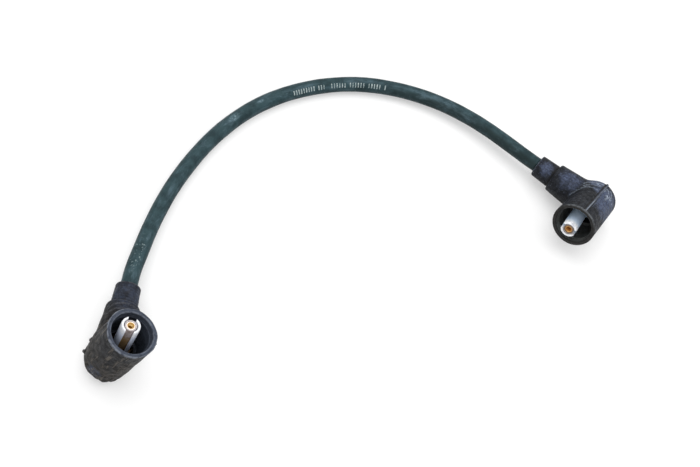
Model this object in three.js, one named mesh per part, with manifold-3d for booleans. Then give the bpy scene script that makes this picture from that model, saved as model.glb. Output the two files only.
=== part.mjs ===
// Ignition lead: a rubber-jacketed high-tension cable with a right-angled connector on each end.
// Millimetres, +Z up. The table is z = 0, +X runs from the left boot to the right one, and the
// lead bows towards +Y. Both connectors are alike and are built in a frame of their own: the
// mouth looks along +Z, the cable leaves along +X, and the elbow, where the two axes cross, is
// the origin. The contact inside leans a little in its boot, differently on each end.
import * as THREE from "three";
import { mergeVertices } from "three/addons/utils/BufferGeometryUtils.js";
import Module from "manifold-3d";

const wasm = await Module();
wasm.setup();

// Fits
const clearance = 0.3; // between a piece and what it sits in or stands on

// Cable
const cableDiameter = 7.0;
const conductorDiameter = 2.4;
const cableInsertion = 17.1; // how far the jacket reaches into the boot's arm
const stripLength = 7.0; // bared conductor
const cableSides = 12;
const cableSteps = 20;

// Boot, along its mouth axis (heights are from the elbow)
const rimHeight = 23.05;
const rimDiameter = 20.2;
const rimRound = 0.8;
const closedEndDepth = 8.4;
const closedEndDiameter = 18.4;
const closedEndRound = 2.6;
const closedEndWall = 3.5;

// Boot's mouth
const mouthDiameter = 16.6;
const mouthDepth = 16.4;
const mouthFloorDiameter = 15.2;
const sealRibDepth = 3.2; // middle of the rib, below the rim
const sealRibWidth = 1.4;
const sealRibHeight = 0.45;
const leanRoom = 2.4; // what the well leaves round the contact's foot, so that it can lean

// Boot's arm (lengths are from the elbow)
const armLength = 30.78;
const collarLength = 9.2;
const collarDiameter = 11.2;
const collarTipDiameter = 10.5;
const collarChamfer = 0.7;
const shoulderDiameter = 13.8;
const shoulderRound = 0.7;
const armDiameter = 15.4;
const armStraight = 11.0; // where the arm's own taper begins
const armRootDiameter = 16.8;
const armRootStart = 3.5;

// Moulding seam, a thin rib up both sides of the body in the plane across the arm
const seamHeight = 0.25;
const seamWidth = 0.5;
const seamOffset = -0.6;

// Crimp ferrule round the jacket's end
const ferruleWall = 0.8;
const ferruleLength = 9.2;
const ferruleLip = 0.9;
const crimpDepth = 0.3;
const crimpWidth = 1.6;
const crimpInset = 2.2; // from the ferrule's open end to the middle of the first crimp
const crimpPitch = 2.8;

// Terminal body, the metal elbow in the boot
const conductorBarrelWall = 0.7;
const stopFlangeDiameter = 6.8;
const stopFlangeThickness = 0.8;
const blockDiameter = 8.8;
const blockTop = 4.2;
const blockChamfer = 0.8;
const neckDiameter = 6.4;
const seatDiameter = 8.3;
const seatThickness = 1.2;
const seatHeight = 6.9; // top of the seat above the elbow, along the contact
const spigotHeight = 2.4;
const tappedDepth = 5.2;

// Contact: a slotted spring sleeve round a socket tube with a brass lining
const contactReach = 24.9; // tip of the sleeve, from the elbow
const sleeveDiameter = 7.5;
const sleeveWall = 0.95;
const sleeveChamfer = 0.25;
const slotWidth = 3.2;
const slotBelowSpigot = 0.7; // how far the slots show the spigot
const tubeDiameter = 4.7;
const tubeWall = 0.5;
const tubeWeb = 1.2;
const tubeInset = 0.25; // tube's lip below the sleeve's tip
const liningWall = 0.4;
const liningInset = 0.5;
const screwDiameter = 1.9;
const screwHeadHeight = 1.5;
const screwSlotWidth = 0.5;
const screwSlotDepth = 0.6;
const screwGrip = 4.6; // thread inside the terminal body

// Where each connector lies: the elbow's place in plan, which way its arm points, how far the arm
// dips towards the cable, how far the mouth is rolled over round the arm, and how the contact in
// it stands: its foot's offset at the elbow and its lean, towards the arm and to the side.
const connectors = {
  left: {
    elbow: [-116.59, -5.53],
    heading: 56.9,
    dip: 3.1,
    roll: 14.0,
    foot: [0.1, -1.6],
    leanToArm: 4.3,
    leanAside: 7.6,
  },
  right: {
    elbow: [115.74, -5.62],
    heading: 117.25,
    dip: 5.2,
    roll: -71.6,
    foot: [2.5, 0.3],
    leanToArm: -4.6,
    leanAside: 4.2,
  },
};

// The free cable's route, from the left collar's face to the right one's
const cableRoute = [
  [-99.65, 20.47, 8.14],
  [-95.5, 26.7, 7.65],
  [-88.4, 35.4, 6.7],
  [-80.9, 44.2, 6.0],
  [-72.8, 52.7, 5.3],
  [-64.0, 60.8, 4.6],
  [-54.6, 68.3, 4.1],
  [-44.4, 75.2, 3.8],
  [-33.7, 81.1, 3.6],
  [-22.4, 85.9, 3.5],
  [-10.7, 89.3, 3.5],
  [1.3, 91.2, 3.5],
  [13.2, 91.5, 3.5],
  [25.0, 90.5, 3.5],
  [36.5, 88.0, 3.5],
  [47.3, 84.0, 3.6],
  [57.4, 78.6, 3.9],
  [66.6, 72.0, 4.3],
  [74.9, 64.4, 4.8],
  [82.1, 55.8, 5.4],
  [88.3, 46.4, 6.1],
  [93.8, 36.5, 6.8],
  [98.9, 26.7, 7.5],
  [101.56, 21.9, 7.9],
];

// Facets round a full turn
const bootSegments = 56;
const armSegments = 48;
const metalSegments = 32;
const smallSegments = 24;
const arcPoints = 4;
const weld = 1e-4; // vertices nearer than this are one

// Stations and radii that follow from the sizes above
const cableRadius = cableDiameter / 2;
const mouthFloor = rimHeight - mouthDepth;
const wellBottom = closedEndWall - closedEndDepth;
const wellRadius = seatDiameter / 2 + leanRoom;
const jacketBore = cableRadius + clearance;
const jacketEnd = armLength - cableInsertion;
const conductorStart = jacketEnd - clearance - stripLength;
const conductorBore = conductorDiameter / 2 + clearance;
const barrelRadius = conductorBore + conductorBarrelWall;
const barrelEnd = jacketEnd - clearance;
const flangeStart = barrelEnd - stopFlangeThickness;
const ferruleRadius = jacketBore + ferruleWall;
const ferruleStart = flangeStart - clearance - ferruleLip;
const ferruleEnd = ferruleStart + ferruleLength;
const sleeveRadius = sleeveDiameter / 2;
const sleeveBore = sleeveRadius - sleeveWall;
const sleeveFoot = seatHeight + clearance;
const spigotRadius = sleeveBore - clearance;
const spigotTop = seatHeight + spigotHeight;
const slotFoot = spigotTop - slotBelowSpigot;
const tubeBore = tubeDiameter / 2 - tubeWall;
const tubeFoot = spigotTop + clearance;
const tubeTip = contactReach - tubeInset;
const screwRadius = screwDiameter / 2;
const screwHole = screwRadius + clearance;
const screwHeadRadius = tubeBore - clearance;
const screwHeadStart = tubeFoot + tubeWeb + clearance;
const screwHeadTop = screwHeadStart + screwHeadHeight;
const liningRadius = tubeBore - clearance;
const liningFoot = screwHeadTop + clearance;
const liningTip = contactReach - liningInset;

// Finishes
function finish(color, roughness, metalness) {
  return new THREE.MeshStandardMaterial({ color, roughness, metalness });
}

const bootRubber = finish(0x2c2f37, 0.7, 0);
const jacketRubber = finish(0x2b3b3d, 0.55, 0);
const platedMetal = finish(0xc4c8cf, 0.35, 1);
const brass = finish(0xb8893f, 0.3, 1);
const copperStrands = finish(0xb06a45, 0.45, 1);

// A closed three.js geometry as a solid that can be joined and cut
function solid(geometry) {
  const bare = geometry.index ? geometry.toNonIndexed() : geometry.clone();
  bare.deleteAttribute("normal");
  bare.deleteAttribute("uv");
  const merged = mergeVertices(bare, weld);
  const corners = merged.index.array;
  const kept = [];
  for (let i = 0; i < corners.length; i += 3) {
    const [a, b, c] = corners.slice(i, i + 3);
    if (a !== b && b !== c && c !== a) kept.push(a, b, c);
  }
  return new wasm.Manifold(
    new wasm.Mesh({
      numProp: 3,
      vertProperties: merged.attributes.position.array,
      triVerts: new Uint32Array(kept),
    }),
  );
}

// A solid back as a three.js geometry
function geometryOf(body) {
  const mesh = body.getMesh();
  const geometry = new THREE.BufferGeometry();
  geometry.setAttribute("position", new THREE.BufferAttribute(mesh.vertProperties, 3));
  geometry.setIndex(new THREE.BufferAttribute(mesh.triVerts, 1));
  geometry.computeVertexNormals();
  return geometry;
}

// Profiles are [radius, height] pairs that go up the outside, so that the faces point out.
// A ring's profile goes up the outside and down the bore, and closes on its first point.
function turned(profile, segments) {
  const points = profile.map(([radius, height]) => new THREE.Vector2(radius, height));
  return new THREE.LatheGeometry(points, segments).rotateX(Math.PI / 2);
}

function turnedOnArm(profile, segments) {
  return turned(profile, segments).rotateY(Math.PI / 2);
}

function ring(outer, inner, bottom, top) {
  return [
    [inner, bottom],
    [outer, bottom],
    [outer, top],
    [inner, top],
    [inner, bottom],
  ];
}

function rod(radius, bottom, top) {
  return [
    [0, bottom],
    [radius, bottom],
    [radius, top],
    [0, top],
  ];
}

// Quarter of a circle from one angle to another, as profile points
function quarter(centreRadius, centreHeight, radius, fromAngle, toAngle) {
  const points = [];
  for (let i = 0; i <= arcPoints; i++) {
    const angle = fromAngle + ((toAngle - fromAngle) * i) / arcPoints;
    points.push([
      centreRadius + radius * Math.cos(angle),
      centreHeight + radius * Math.sin(angle),
    ]);
  }
  return points;
}

// Boot outside: a body that widens towards its mouth, closed and rounded at the back
function bodyProfile() {
  const closedRadius = closedEndDiameter / 2;
  const rimRadius = rimDiameter / 2;
  const bottom = -closedEndDepth;
  return [
    [0, bottom],
    ...quarter(
      closedRadius - closedEndRound,
      bottom + closedEndRound,
      closedEndRound,
      -Math.PI / 2,
      0,
    ),
    ...quarter(rimRadius - rimRound, rimHeight - rimRound, rimRound, 0, Math.PI / 2),
    [0, rimHeight],
  ];
}

function armProfile() {
  const shoulder = armLength - collarLength;
  const tipRadius = collarTipDiameter / 2;
  return [
    [0, 0],
    [armRootDiameter / 2, 0],
    [armRootDiameter / 2, armRootStart],
    [armDiameter / 2, armStraight],
    ...quarter(
      shoulderDiameter / 2 - shoulderRound,
      shoulder - shoulderRound,
      shoulderRound,
      0,
      Math.PI / 2,
    ),
    [collarDiameter / 2, shoulder],
    [tipRadius, armLength - collarChamfer],
    [tipRadius - collarChamfer, armLength],
    [0, armLength],
  ];
}

// The seam is a plate through the body, a little wider than the body is
function seamRib() {
  const bottom = closedEndRound - closedEndDepth;
  const top = rimHeight - rimRound;
  const bottomHalf = closedEndDiameter / 2 + seamHeight;
  const topHalf = rimDiameter / 2 + seamHeight;
  const outline = new THREE.Shape()
    .moveTo(-bottomHalf, bottom)
    .lineTo(bottomHalf, bottom)
    .lineTo(topHalf, top)
    .lineTo(-topHalf, top);
  return new THREE.ExtrudeGeometry(outline, { depth: seamWidth, bevelEnabled: false })
    .translate(0, 0, -seamWidth / 2)
    .rotateX(Math.PI / 2)
    .rotateZ(Math.PI / 2)
    .translate(seamOffset, 0, 0);
}

// Boot inside: the mouth with its sealing rib, and the well that holds the terminal body
function mouthProfile() {
  const mouthRadius = mouthDiameter / 2;
  const rib = rimHeight - sealRibDepth;
  return [
    [0, wellBottom],
    [wellRadius, wellBottom],
    [wellRadius, mouthFloor],
    [mouthFloorDiameter / 2, mouthFloor],
    [mouthRadius, rib - sealRibWidth],
    [mouthRadius - sealRibHeight, rib - sealRibWidth / 2],
    [mouthRadius - sealRibHeight, rib + sealRibWidth / 2],
    [mouthRadius, rib + sealRibWidth],
    [mouthRadius, rimHeight - rimRound],
    [mouthRadius + rimRound / 2, rimHeight + rimRound / 8],
    [mouthRadius + rimRound / 2, rimHeight + rimRound],
    [0, rimHeight + rimRound],
  ];
}

function armBoreProfile() {
  const pocket = ferruleRadius + clearance;
  const beyond = armLength + collarChamfer;
  return [
    [0, 0],
    [pocket, 0],
    [pocket, ferruleEnd + clearance],
    [jacketBore, ferruleEnd + clearance],
    [jacketBore, beyond],
    [0, beyond],
  ];
}

function bootGeometry() {
  const outside = solid(turned(bodyProfile(), bootSegments))
    .add(solid(turnedOnArm(armProfile(), armSegments)))
    .add(solid(seamRib()));
  const inside = solid(turned(mouthProfile(), bootSegments)).add(
    solid(turnedOnArm(armBoreProfile(), armSegments)),
  );
  return geometryOf(outside.subtract(inside));
}

// Cable's end inside the boot, its bared conductor and the ferrule crimped round it
function cableEndGeometry() {
  return turnedOnArm(rod(cableRadius, jacketEnd, armLength), metalSegments);
}

function conductorGeometry() {
  const end = jacketEnd - clearance;
  return turnedOnArm(rod(conductorDiameter / 2, conductorStart, end), smallSegments);
}

function ferruleGeometry() {
  const lipBore = barrelRadius + clearance;
  const lipInside = ferruleStart + ferruleLip;
  const crimped = ferruleRadius - crimpDepth;
  const groove = (middle) => [
    [ferruleRadius, middle - crimpWidth / 2],
    [crimped, middle - crimpWidth / 4],
    [crimped, middle + crimpWidth / 4],
    [ferruleRadius, middle + crimpWidth / 2],
  ];
  const outerCrimp = ferruleEnd - crimpInset;
  return turnedOnArm(
    [
      [lipBore, ferruleStart],
      [ferruleRadius, ferruleStart],
      ...groove(outerCrimp - crimpPitch),
      ...groove(outerCrimp),
      [ferruleRadius, ferruleEnd],
      [jacketBore, ferruleEnd],
      [jacketBore, lipInside],
      [lipBore, lipInside],
      [lipBore, ferruleStart],
    ],
    metalSegments,
  );
}

// The contact's own axis in a boot: its foot is offset at the elbow, and it leans from there
function leaning({ foot, leanToArm, leanAside }) {
  const toArm = Math.tan(THREE.MathUtils.degToRad(leanToArm));
  const aside = Math.tan(THREE.MathUtils.degToRad(leanAside));
  const axis = new THREE.Vector3(toArm, aside, 1).normalize();
  const up = new THREE.Vector3(0, 0, 1);
  const turn = new THREE.Quaternion().setFromUnitVectors(up, axis);
  const place = new THREE.Vector3(foot[0], foot[1], 0);
  return new THREE.Matrix4().compose(place, turn, new THREE.Vector3(1, 1, 1));
}

// Terminal body: an upright block at the elbow, a barrel for the conductor with a flange that the
// ferrule's lip hooks over, and a leaning neck that carries the contact on a seat and a spigot
function terminalBodyGeometry(lean) {
  const blockRadius = blockDiameter / 2;
  const blockBottom = wellBottom + clearance;
  const block = [
    [0, blockBottom],
    [blockRadius - blockChamfer, blockBottom],
    [blockRadius, blockBottom + blockChamfer],
    [blockRadius, blockTop - blockChamfer],
    [blockRadius - blockChamfer, blockTop],
    [0, blockTop],
  ];
  const barrel = [
    [0, 0],
    [barrelRadius, 0],
    [barrelRadius, flangeStart],
    [stopFlangeDiameter / 2, flangeStart],
    [stopFlangeDiameter / 2, barrelEnd],
    [0, barrelEnd],
  ];
  const seatBottom = seatHeight - seatThickness;
  const neck = [
    [0, 0],
    [neckDiameter / 2, 0],
    [neckDiameter / 2, seatBottom],
    [seatDiameter / 2, seatBottom],
    [seatDiameter / 2, seatHeight],
    [spigotRadius, seatHeight],
    [spigotRadius, spigotTop],
    [0, spigotTop],
  ];
  const beyond = spigotTop + seatThickness;
  const tapped = turned(rod(screwHole, spigotTop - tappedDepth, beyond), smallSegments);
  const conductorWay = turnedOnArm(
    rod(conductorBore, conductorStart - clearance, barrelEnd + clearance),
    smallSegments,
  );
  return geometryOf(
    solid(turned(block, metalSegments))
      .add(solid(turnedOnArm(barrel, metalSegments)))
      .add(solid(turned(neck, metalSegments).applyMatrix4(lean)))
      .subtract(solid(tapped.applyMatrix4(lean)))
      .subtract(solid(conductorWay)),
  );
}

// Contact pieces, in the contact's own frame
function sleeveGeometry() {
  const tube = solid(
    turned(
      [
        [sleeveBore, sleeveFoot],
        [sleeveRadius, sleeveFoot],
        [sleeveRadius, contactReach - sleeveChamfer],
        [sleeveRadius - sleeveChamfer, contactReach],
        [sleeveBore, contactReach],
        [sleeveBore, sleeveFoot],
      ],
      metalSegments,
    ),
  );
  const slotHeight = contactReach - slotFoot + sleeveWall;
  const slots = new THREE.BoxGeometry(sleeveDiameter + sleeveWall, slotWidth, slotHeight);
  return geometryOf(tube.subtract(solid(slots.translate(0, 0, slotFoot + slotHeight / 2))));
}

function tubeGeometry() {
  const radius = tubeDiameter / 2;
  const webTop = tubeFoot + tubeWeb;
  return turned(
    [
      [screwHole, tubeFoot],
      [radius, tubeFoot],
      [radius, tubeTip],
      [tubeBore, tubeTip],
      [tubeBore, webTop],
      [screwHole, webTop],
      [screwHole, tubeFoot],
    ],
    metalSegments,
  );
}

function liningGeometry() {
  return turned(ring(liningRadius, liningRadius - liningWall, liningFoot, liningTip), smallSegments);
}

function screwGeometry() {
  const screw = solid(
    turned(
      [
        [0, spigotTop - screwGrip],
        [screwRadius, spigotTop - screwGrip],
        [screwRadius, screwHeadStart],
        [screwHeadRadius, screwHeadStart],
        [screwHeadRadius, screwHeadTop],
        [0, screwHeadTop],
      ],
      smallSegments,
    ),
  );
  const slot = new THREE.BoxGeometry(screwSlotWidth, tubeDiameter, 2 * screwSlotDepth);
  return geometryOf(screw.subtract(solid(slot.translate(0, 0, screwHeadTop))));
}

function named(name, geometry, material) {
  const mesh = new THREE.Mesh(geometry, material);
  mesh.name = name;
  return mesh;
}

// One connector, turned as it lies and lowered until its lowest point is on the table
function connector(side, pose) {
  const lean = leaning(pose);
  const contact = new THREE.Group().add(
    named("contact_sleeve_" + side, sleeveGeometry(), platedMetal),
    named("contact_tube_" + side, tubeGeometry(), platedMetal),
    named("contact_lining_" + side, liningGeometry(), brass),
    named("contact_screw_" + side, screwGeometry(), brass),
  );
  contact.applyMatrix4(lean);
  const group = new THREE.Group().add(
    named("boot_" + side, bootGeometry(), bootRubber),
    named("cable_end_" + side, cableEndGeometry(), jacketRubber),
    named("conductor_" + side, conductorGeometry(), copperStrands),
    named("crimp_ferrule_" + side, ferruleGeometry(), platedMetal),
    named("terminal_body_" + side, terminalBodyGeometry(lean), brass),
    contact,
  );
  group.rotation.set(
    THREE.MathUtils.degToRad(pose.roll),
    THREE.MathUtils.degToRad(pose.dip),
    THREE.MathUtils.degToRad(pose.heading),
    "ZYX",
  );
  const lowest = new THREE.Box3().setFromObject(group, true).min.z;
  group.position.set(pose.elbow[0], pose.elbow[1], -lowest);
  return group;
}

// Free cable: a round section carried along its route
function cableGeometry() {
  const section = [];
  for (let i = 0; i < cableSides; i++) {
    const angle = (2 * Math.PI * i) / cableSides;
    section.push(new THREE.Vector2(cableRadius * Math.cos(angle), cableRadius * Math.sin(angle)));
  }
  const route = new THREE.CatmullRomCurve3(cableRoute.map((point) => new THREE.Vector3(...point)));
  return new THREE.ExtrudeGeometry(new THREE.Shape(section), {
    steps: cableSteps,
    extrudePath: route,
    bevelEnabled: false,
  });
}

const lead = new THREE.Group().add(
  connector("left", connectors.left),
  connector("right", connectors.right),
  named("cable", cableGeometry(), jacketRubber),
);

export default lead;
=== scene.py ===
# %% [markdown]
# # An ignition lead, from camera to contact
#
# The lead is a rubber-jacketed cable with a right-angled rubber boot on each end. A plated,
# slotted contact stands in each boot's mouth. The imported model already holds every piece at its
# true size and place, so this file loads it first and then gives the pieces their fine shape and
# finish. Lengths below are millimetres, as on a drawing, and become metres when a mesh is made.

import math
from types import SimpleNamespace

import bpy
import numpy as np
from mathutils import Matrix, Vector


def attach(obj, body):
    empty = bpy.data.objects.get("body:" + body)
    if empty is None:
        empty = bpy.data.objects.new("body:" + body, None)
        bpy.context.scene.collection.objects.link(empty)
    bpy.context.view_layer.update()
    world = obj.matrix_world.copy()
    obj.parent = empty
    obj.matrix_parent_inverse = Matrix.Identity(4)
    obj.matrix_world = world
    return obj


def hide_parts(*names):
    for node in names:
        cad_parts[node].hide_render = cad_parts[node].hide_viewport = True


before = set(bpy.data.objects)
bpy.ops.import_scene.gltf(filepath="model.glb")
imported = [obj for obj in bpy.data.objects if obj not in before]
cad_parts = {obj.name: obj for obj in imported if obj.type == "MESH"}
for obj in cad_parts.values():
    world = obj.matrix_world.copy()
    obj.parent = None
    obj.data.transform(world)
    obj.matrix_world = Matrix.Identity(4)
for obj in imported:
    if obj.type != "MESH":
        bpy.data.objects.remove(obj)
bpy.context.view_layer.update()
MM = 0.001  # one millimetre, in metres

# %% [markdown]
# ## Camera
#
# The camera's place was worked out from the ellipses of both rims, the collars and the cable's
# width. It looks down from beyond the left boot and is rolled, as a hand-held camera is. A
# tracking constraint would lose that roll, so three turns are multiplied instead: the heading
# round the upright, the dip below the horizon, and the roll round the line of sight.

# %% Set up the camera
camera_place = (-229.99, -173.64, 488.85)
camera_heading, camera_dip, camera_roll = 39.490, 58.266, 29.460
lens = bpy.data.cameras.new("studio_camera")
lens.lens, lens.sensor_width, lens.sensor_fit = 67.456, 36.0, "HORIZONTAL"
lens.clip_start, lens.clip_end = 0.01, 10.0
camera = bpy.data.objects.new("studio_camera", lens)
camera.matrix_world = (Matrix.Translation(Vector(camera_place) * MM)
                       @ Matrix.Rotation(math.radians(camera_heading - 90), 4, "Z")
                       @ Matrix.Rotation(math.radians(90 - camera_dip), 4, "X")
                       @ Matrix.Rotation(math.radians(camera_roll), 4, "Z"))
bpy.context.scene.collection.objects.link(camera)
bpy.context.scene.camera = camera
print("camera height:", round(camera.location.z, 3), "m")

# %% [markdown]
# ## Where the cable runs
#
# The cable leaves the left collar, sinks to the table under its own stiffness, bows round and
# climbs into the right collar. A rubber cable takes one smooth curve, so a spline goes through
# chosen points. The steps are spaced evenly along it, because the scuffs and the row of print
# marks are all measured along the length. The two end points lie just inside the collars.

# %% Follow the route
route = np.array([
    [-99.81, 20.22, 8.16], [-95.5, 26.7, 7.65], [-88.4, 35.4, 6.7], [-80.9, 44.2, 6.0],
    [-72.8, 52.7, 5.3], [-64.0, 60.8, 4.6], [-54.6, 68.3, 4.1], [-44.4, 75.2, 3.8],
    [-33.7, 81.1, 3.6], [-22.4, 85.9, 3.5], [-10.7, 89.3, 3.5], [1.3, 91.2, 3.5],
    [13.2, 91.5, 3.5], [25.0, 90.5, 3.5], [36.5, 88.0, 3.5], [47.3, 84.0, 3.6],
    [57.4, 78.6, 3.9], [66.6, 72.0, 4.3], [74.9, 64.4, 4.8], [82.1, 55.8, 5.4],
    [88.3, 46.4, 6.1], [93.8, 36.5, 6.8], [98.9, 26.7, 7.5], [101.70, 21.63, 7.93],
])
step_length = 0.8


def lengths_along(line):
    """How far along the line each of its points lies."""
    return np.r_[0, np.cumsum(np.linalg.norm(np.diff(line, axis=0), axis=1))]


def smooth_route(points, per_span=24):
    """Points of a cubic spline through the given ones, evenly spaced along it."""
    knots = lengths_along(points)
    slopes = np.gradient(points, knots, axis=0)
    t = np.linspace(0, 1, per_span, endpoint=False)[:, None]
    line = []
    for i, span in enumerate(np.diff(knots)):
        line.append((2 * t**3 - 3 * t**2 + 1) * points[i] + (t**3 - 2 * t**2 + t) * span * slopes[i]
                    + (3 * t**2 - 2 * t**3) * points[i + 1] + (t**3 - t**2) * span * slopes[i + 1])
    line = np.vstack(line + [points[-1:]])
    along = lengths_along(line)
    steps = np.linspace(0, along[-1], int(along[-1] / step_length))
    return np.stack([np.interp(steps, along, line[:, k]) for k in range(3)], axis=1), along[-1]


cable_line, cable_length = smooth_route(route)
print("free cable:", round(cable_length, 1), "mm in", len(cable_line), "steps")

# %% [markdown]
# ## The cable
#
# A beveled curve would give the same round shape, but a mesh tube can carry the cable's own
# straightened coordinates. Each point remembers where it would be if the cable were pulled out
# straight, so that scuffs and print follow the bend. The jacket is never perfectly round, and it
# takes a few hundredths of a millimetre of slow unevenness.

# %% Helpers for meshes
def slow_waves(seed, size, count=14):
    """A smooth random field of points, about -1 to 1, whose lumps are about the given size."""
    source = np.random.default_rng(seed)
    ways = source.normal(size=(count, 3)) / size * 2.2
    starts = source.uniform(0, 2 * np.pi, count)
    return lambda p: np.sin(p @ ways.T + starts).sum(axis=-1) / math.sqrt(count)


def new_object(name, data):
    """An object with that mesh, curve or lamp, in the scene."""
    made = bpy.data.objects.new(name, data)
    bpy.context.scene.collection.objects.link(made)
    return made


def new_mesh(name, points, faces, attributes=None, place=None):
    """An object with its place in its mesh. Points are in millimetres in the piece's own frame."""
    points = np.asarray(points, float)
    if place is not None:
        m = np.array(place)
        points = points @ m[:3, :3].T + m[:3, 3]
    mesh = bpy.data.meshes.new(name)
    mesh.from_pydata((points * MM).tolist(), [], [list(map(int, f)) for f in faces])
    for key, values in (attributes or {}).items():
        values = np.asarray(values, float)
        kind, field = ("FLOAT_VECTOR", "vector") if values.ndim == 2 else ("FLOAT", "value")
        mesh.attributes.new(key, kind, "POINT").data.foreach_set(field, values.ravel())
    mesh.shade_smooth()
    mesh.update()
    return new_object(name, mesh)


# %% Sweep the jacket along the route
cable_radius, cable_sides = 3.5, 48
jacket_shrink, right_end_shrink = 0.03, 0.08
jacket_lumps = ((slow_waves(3, 9.0), 0.035), (slow_waves(4, 2.2), 0.012))


def swept_cable(line, radius, sides):
    """A closed tube along the line, and each point's place on the cable pulled straight."""
    heading = np.gradient(line, axis=0)
    heading /= np.linalg.norm(heading, axis=1)[:, None]
    aside = np.cross(heading, [0.0, 0.0, 1.0])
    aside /= np.linalg.norm(aside, axis=1)[:, None]
    over = np.cross(aside, heading)
    along = lengths_along(line)
    turn = np.linspace(0, 2 * np.pi, sides, endpoint=False)[None]
    straight = np.broadcast_arrays(radius * np.cos(turn), radius * np.sin(turn), along[:, None])
    straight = np.stack(straight, axis=2)
    lump = sum(height * waves(straight) for waves, height in jacket_lumps)
    reach = radius - jacket_shrink + lump - right_end_shrink * along[:, None] / along[-1]
    c, s = np.cos(turn)[..., None], np.sin(turn)[..., None]
    points = line[:, None] + reach[..., None] * (c * aside[:, None] + s * over[:, None])
    ring = [(j, (j + 1) % sides) for j in range(sides)]
    starts = range(0, (len(line) - 1) * sides, sides)
    faces = [[i + j, i + k, i + sides + k, i + sides + j] for i in starts for j, k in ring]
    first_middle, end_ring = len(line) * sides, (len(line) - 1) * sides
    faces += [[first_middle, k, j] for j, k in ring]
    faces += [[first_middle + 1, end_ring + j, end_ring + k] for j, k in ring]
    points = np.vstack([points.reshape(-1, 3), line[:1], line[-1:]])
    straight = np.vstack([straight.reshape(-1, 3), [[0, 0, 0]], [[0, 0, along[-1]]]])
    return points, faces, straight


points, faces, straight = swept_cable(cable_line, cable_radius, cable_sides)
cable = new_mesh("lead_cable", points, faces, {"straight": straight})
print("cable:", len(faces), "faces")

# %% [markdown]
# ## Marks along the jacket
#
# A maker prints small characters along the jacket, in two runs. This lead stays unmarked, so
# plain ticks of ink stand in that place. They repeat along a path, which is work for Geometry
# Nodes: an arc with a small rectangle swept along it is one tick, points are spread along the
# cable's own line, a tick is put on each, and a seeded random choice leaves some out, because
# print like this rubs off. The ticks hug the jacket, so each one keeps the cable's middle as its
# origin and is only turned to the cable's heading.

# %% Helpers for trees of nodes
def put(tree, socket, value):
    """Links a socket to an input, or sets it to a value. A colour of three numbers is opaque."""
    if isinstance(value, bpy.types.NodeSocket):
        tree.links.new(value, socket)
    elif socket.type == "RGBA" and len(value) == 3:
        socket.default_value = (*value, 1.0)
    else:
        socket.default_value = value


def step(tree, kind, inputs=None, **settings):
    """A new node with its settings made and its inputs set or linked."""
    node = tree.nodes.new(kind)
    for key, value in settings.items():
        setattr(node, key, value)
    for key, value in (inputs or {}).items():
        put(tree, node.inputs[key], value)
    return node


def add_sockets(tree, direction, sockets):
    """Named inputs or outputs on a group, each as (name, kind) or (name, kind, value)."""
    for label, kind, *value in sockets:
        socket = tree.interface.new_socket(label, in_out=direction, socket_type="NodeSocket" + kind)
        if value:
            socket.default_value = value[0]


# %% Build the tick maker
def tick_maker():
    """Geometry Nodes that lay short arcs of ink across a cable, along the curve they are given."""
    tree = bpy.data.node_groups.new("ink ticks along a cable", "GeometryNodeTree")
    tree.is_modifier = True
    add_sockets(tree, "INPUT", [
        ("Geometry", "Geometry"), ("Spacing", "Float", 0.0014), ("Radius", "Float", 0.0034),
        ("First angle", "Float", 2.0), ("Arc", "Float", 0.6), ("Width", "Float", 0.0004),
        ("Thickness", "Float", 0.0001), ("Share left out", "Float", 0.2), ("Seed", "Int", 1),
        ("Ink", "Material")])
    add_sockets(tree, "OUTPUT", [("Geometry", "Geometry")])
    given = step(tree, "NodeGroupInput").outputs
    # one tick: an arc across the cable's top with a flat section swept along it
    arc_line = step(tree, "GeometryNodeCurveArc", {
        "Resolution": 9, "Radius": given["Radius"], "Start Angle": given["First angle"],
        "Sweep Angle": given["Arc"]}, mode="RADIUS").outputs[0]
    section = step(tree, "GeometryNodeCurvePrimitiveQuadrilateral", {
        "Width": given["Thickness"], "Height": given["Width"]}, mode="RECTANGLE").outputs[0]
    tick = step(tree, "GeometryNodeCurveToMesh", {
        "Curve": arc_line, "Profile Curve": section, "Fill Caps": True}).outputs[0]
    # the places along the path, with some left out
    spots = step(tree, "GeometryNodeCurveToPoints", {
        "Curve": given["Geometry"], "Length": given["Spacing"]}, mode="LENGTH").outputs
    lost = step(tree, "FunctionNodeRandomValue", {
        "Probability": given["Share left out"], "Seed": given["Seed"]}, data_type="BOOLEAN").outputs[3]
    left = step(tree, "GeometryNodeDeleteGeometry", {
        "Geometry": spots["Points"], "Selection": lost}, domain="POINT").outputs[0]
    # each tick is turned to the cable's heading, kept upright, and made broad or narrow
    headed = step(tree, "FunctionNodeAlignRotationToVector", {"Vector": spots["Tangent"]}, axis="Z")
    upright = step(tree, "FunctionNodeAlignRotationToVector", {
        "Rotation": headed.outputs[0], "Vector": (0.0, 0.0, 1.0)}, axis="Y", pivot_axis="Z").outputs[0]
    broad = step(tree, "FunctionNodeRandomValue", {2: 0.75, 3: 1.5, "Seed": given["Seed"]},
                 data_type="FLOAT").outputs[1]
    size = step(tree, "ShaderNodeCombineXYZ", {"X": 1.0, "Y": 1.0, "Z": broad}).outputs[0]
    ticks = step(tree, "GeometryNodeInstanceOnPoints", {
        "Points": left, "Instance": tick, "Rotation": upright, "Scale": size}).outputs[0]
    real = step(tree, "GeometryNodeRealizeInstances", {"Geometry": ticks}).outputs[0]
    inked = step(tree, "GeometryNodeSetMaterial", {"Geometry": real, "Material": given["Ink"]}).outputs[0]
    step(tree, "NodeGroupOutput", {"Geometry": inked})
    return tree


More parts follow.
